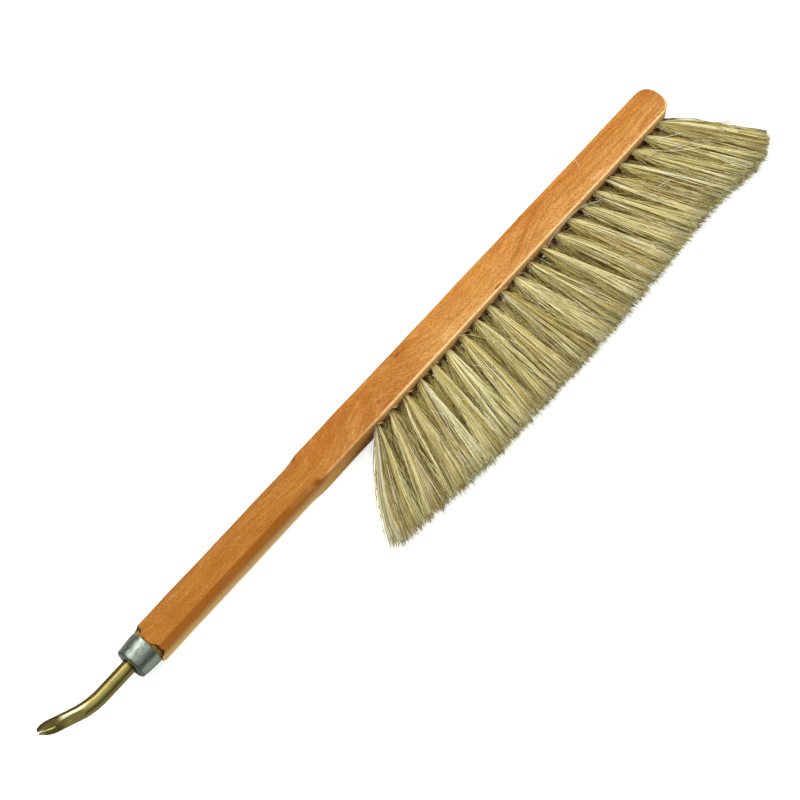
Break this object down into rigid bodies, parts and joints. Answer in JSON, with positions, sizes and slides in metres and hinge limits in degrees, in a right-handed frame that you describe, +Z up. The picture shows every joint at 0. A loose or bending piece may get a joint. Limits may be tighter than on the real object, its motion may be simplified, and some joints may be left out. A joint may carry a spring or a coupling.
{
  "type": "bee brush",
  "caption": "Wooden bee brush with two rows of long fanned hair tufts along one side, and a metal ferrule and bent claw hook at the handle's end for lifting hive frames.",
  "frame": {"origin": "middle of the wooden stock's lower face, half way between the ferrule's rim and the rounded end", "axes": "+X along the brush towards its rounded end, with the claw hook at -X; the hair points to -Y and the hook bends to +Y; +Z is up, away from the face the stock rests on"},
  "size_m": [0.5132, 0.082, 0.02],
  "materials": {
    "stock_wood": "clear varnish on reddish-orange beech",
    "ferrule_metal": "dull, drawn and lightly handled",
    "hook_metal": "yellow zinc plated, satin",
    "tuft_hair": "natural horsehair, khaki with brown and pale strands"
  },
  "bodies": {
    "root": {"wooden_stock": "stock_wood", "ferrule": "ferrule_metal", "claw_hook": "hook_metal", "tuft_upper_01": "tuft_hair", "tuft_upper_02": "tuft_hair", "tuft_upper_03": "tuft_hair", "tuft_upper_04": "tuft_hair", "tuft_upper_05": "tuft_hair", "tuft_upper_06": "tuft_hair", "tuft_upper_07": "tuft_hair", "tuft_upper_08": "tuft_hair", "tuft_upper_09": "tuft_hair", "tuft_upper_10": "tuft_hair", "tuft_upper_11": "tuft_hair", "tuft_upper_12": "tuft_hair", "tuft_upper_13": "tuft_hair", "tuft_upper_14": "tuft_hair", "tuft_upper_15": "tuft_hair", "tuft_upper_16": "tuft_hair", "tuft_upper_17": "tuft_hair", "tuft_upper_18": "tuft_hair", "tuft_upper_19": "tuft_hair", "tuft_upper_20": "tuft_hair", "tuft_upper_21": "tuft_hair", "tuft_upper_22": "tuft_hair", "tuft_lower_01": "tuft_hair", "tuft_lower_02": "tuft_hair", "tuft_lower_03": "tuft_hair", "tuft_lower_04": "tuft_hair", "tuft_lower_05": "tuft_hair", "tuft_lower_06": "tuft_hair", "tuft_lower_07": "tuft_hair", "tuft_lower_08": "tuft_hair", "tuft_lower_09": "tuft_hair", "tuft_lower_10": "tuft_hair", "tuft_lower_11": "tuft_hair", "tuft_lower_12": "tuft_hair", "tuft_lower_13": "tuft_hair", "tuft_lower_14": "tuft_hair", "tuft_lower_15": "tuft_hair", "tuft_lower_16": "tuft_hair", "tuft_lower_17": "tuft_hair", "tuft_lower_18": "tuft_hair", "tuft_lower_19": "tuft_hair", "tuft_lower_20": "tuft_hair", "tuft_lower_21": "tuft_hair", "tuft_lower_22": "tuft_hair"}
  },
  "joints": []
}
